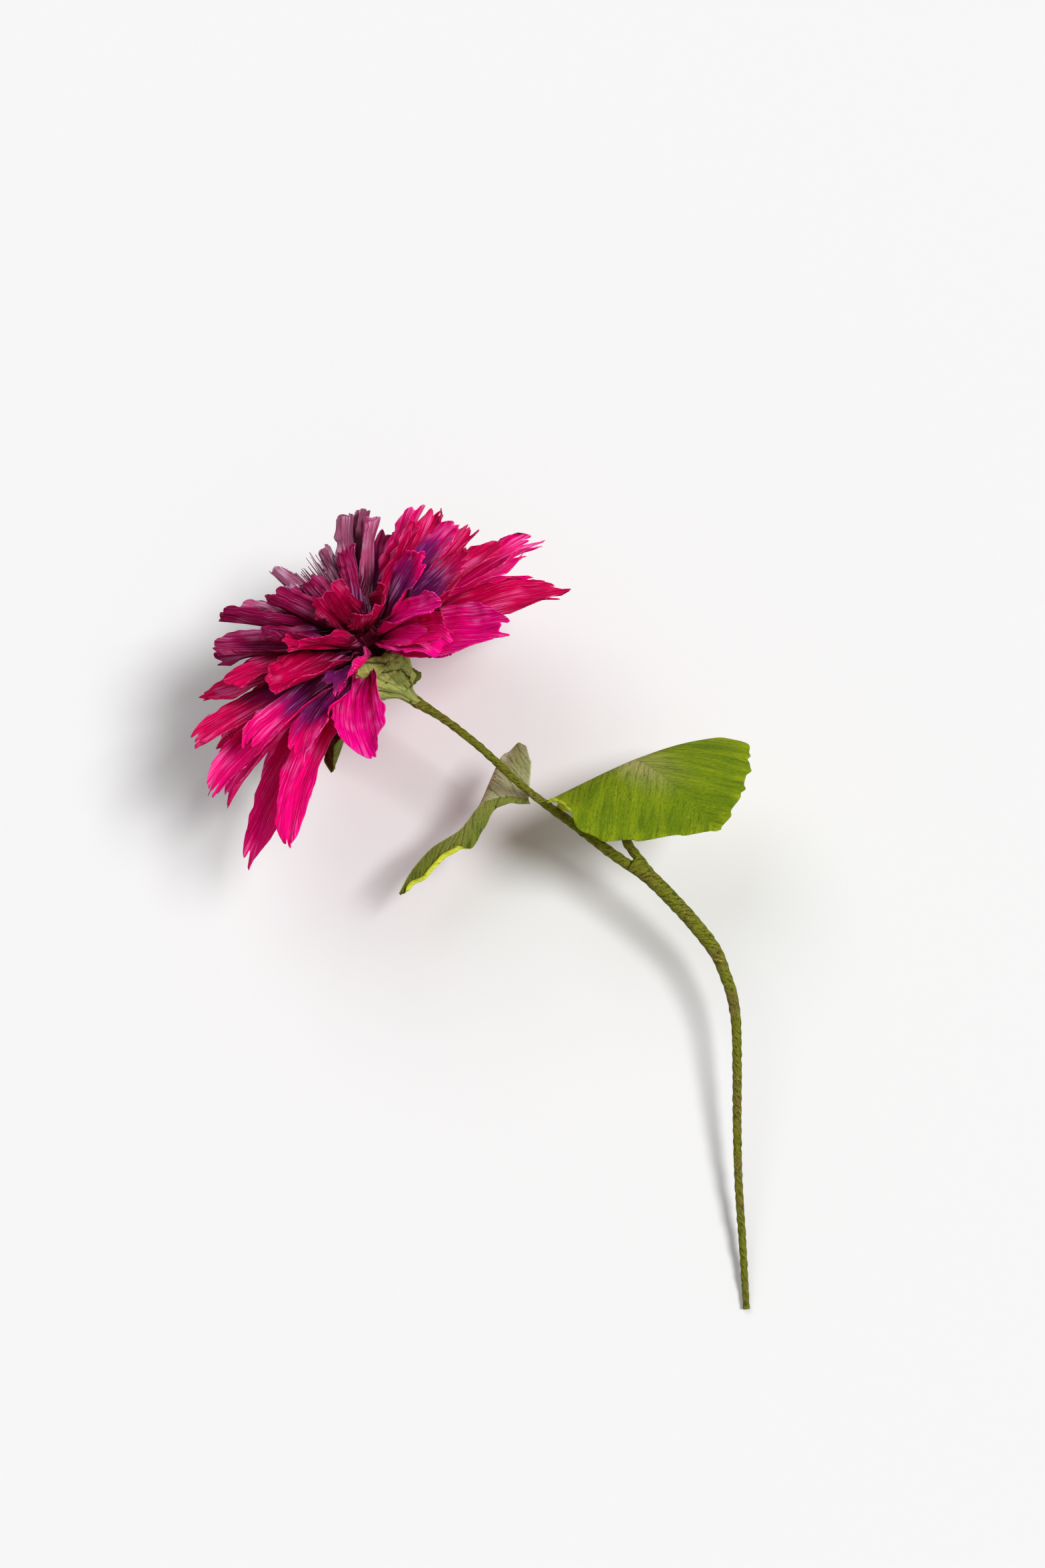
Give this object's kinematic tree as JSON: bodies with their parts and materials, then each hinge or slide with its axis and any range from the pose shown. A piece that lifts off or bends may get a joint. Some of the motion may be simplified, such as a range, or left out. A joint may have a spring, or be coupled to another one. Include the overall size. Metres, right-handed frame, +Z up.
{
  "type": "paper flower",
  "caption": "Crepe-paper dahlia with layered frayed petals, green calyx and two leaves on a bent, paper-wrapped wire stem, lying at rest.",
  "frame": {"origin": "centre of the footprint box on the floor, with the flower lying at rest on two rear petals and the end of its stem", "axes": "+Z up from the floor, +Y along the longest side of its box from the cut end of the stem towards the head, +X across, towards the stem's lower end"},
  "size_m": [0.1646, 0.2368, 0.1038],
  "materials": {
    "petal_magenta": "matte crepe",
    "petal_crimson": "matte crepe",
    "petal_plum": "matte crepe",
    "petal_dark": "matte crepe",
    "leaf_green": "matte crepe",
    "calyx_green": "matte crepe",
    "stem_green": "matte crepe",
    "wire_steel": "bare wire"
  },
  "bodies": {
    "root": {"stem_wire": "wire_steel", "front_leaf_wire": "wire_steel", "stem_wrap_upper": "stem_green", "stem_wrap_lower": "stem_green", "front_leaf_stalk": "stem_green", "front_leaf_left": "leaf_green", "front_leaf_right": "leaf_green", "back_leaf_upper": "leaf_green", "back_leaf_lower": "leaf_green", "calyx_cup": "calyx_green", "centre_fringe": "petal_dark", "heart_petals": "petal_dark", "sepal_1": "calyx_green", "sepal_2": "calyx_green", "sepal_3": "calyx_green", "sepal_4": "calyx_green", "sepal_5": "calyx_green", "outer_petal_1": "petal_magenta", "outer_petal_2": "petal_magenta", "outer_petal_3": "petal_magenta", "outer_petal_4": "petal_magenta", "outer_petal_5": "petal_magenta", "outer_petal_6": "petal_magenta", "outer_petal_7": "petal_magenta", "outer_petal_8": "petal_magenta", "outer_petal_9": "petal_magenta", "second_petal_1": "petal_magenta", "second_petal_2": "petal_magenta", "second_petal_3": "petal_magenta", "second_petal_4": "petal_magenta", "second_petal_5": "petal_magenta", "second_petal_6": "petal_magenta", "second_petal_7": "petal_magenta", "second_petal_8": "petal_magenta", "second_petal_9": "petal_magenta", "second_petal_10": "petal_magenta", "third_petal_1": "petal_crimson", "third_petal_2": "petal_crimson", "third_petal_3": "petal_crimson", "third_petal_4": "petal_crimson", "third_petal_5": "petal_crimson", "third_petal_6": "petal_crimson", "third_petal_7": "petal_crimson", "third_petal_8": "petal_crimson", "fourth_petal_1": "petal_crimson", "fourth_petal_2": "petal_crimson", "fourth_petal_3": "petal_crimson", "fourth_petal_4": "petal_crimson", "fourth_petal_5": "petal_crimson", "fourth_petal_6": "petal_crimson", "fourth_petal_7": "petal_crimson", "fourth_petal_8": "petal_crimson", "fourth_petal_9": "petal_crimson", "fifth_petal_1": "petal_plum", "fifth_petal_2": "petal_plum", "fifth_petal_3": "petal_plum", "fifth_petal_4": "petal_plum", "fifth_petal_5": "petal_plum", "fifth_petal_6": "petal_plum", "fifth_petal_7": "petal_plum"}
  },
  "joints": []
}
